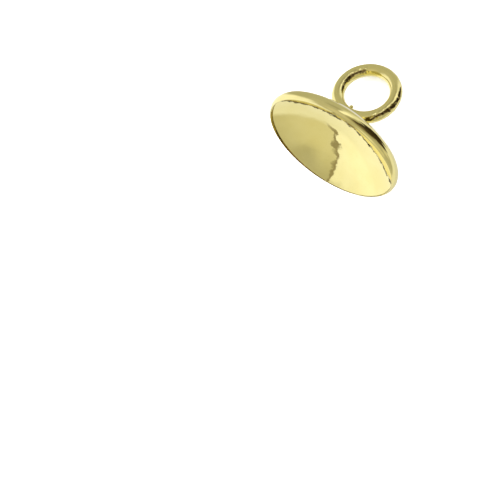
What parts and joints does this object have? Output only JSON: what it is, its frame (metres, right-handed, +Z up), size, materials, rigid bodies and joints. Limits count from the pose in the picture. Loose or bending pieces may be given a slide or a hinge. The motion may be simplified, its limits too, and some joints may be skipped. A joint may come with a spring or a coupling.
{
  "type": "bead cup",
  "caption": "Round domed metal cup with a closed wire loop soldered to its crown, glued over a bead or drop to hang it.",
  "frame": {"origin": "middle of the bounding box, on the surface that the part lies on", "axes": "+Z up from the surface; +Y along the surface and across the part, parallel to the plane of the loop; the axis of the cup lies in the XZ plane, with the loop towards +X and sloping down, and the mouth towards -X and up"},
  "size_m": [0.0088, 0.01, 0.0084],
  "materials": {
    "gold_plate": "mirror-polished pale gold plate"
  },
  "bodies": {
    "root": {"bead_cup": "gold_plate"}
  },
  "joints": []
}
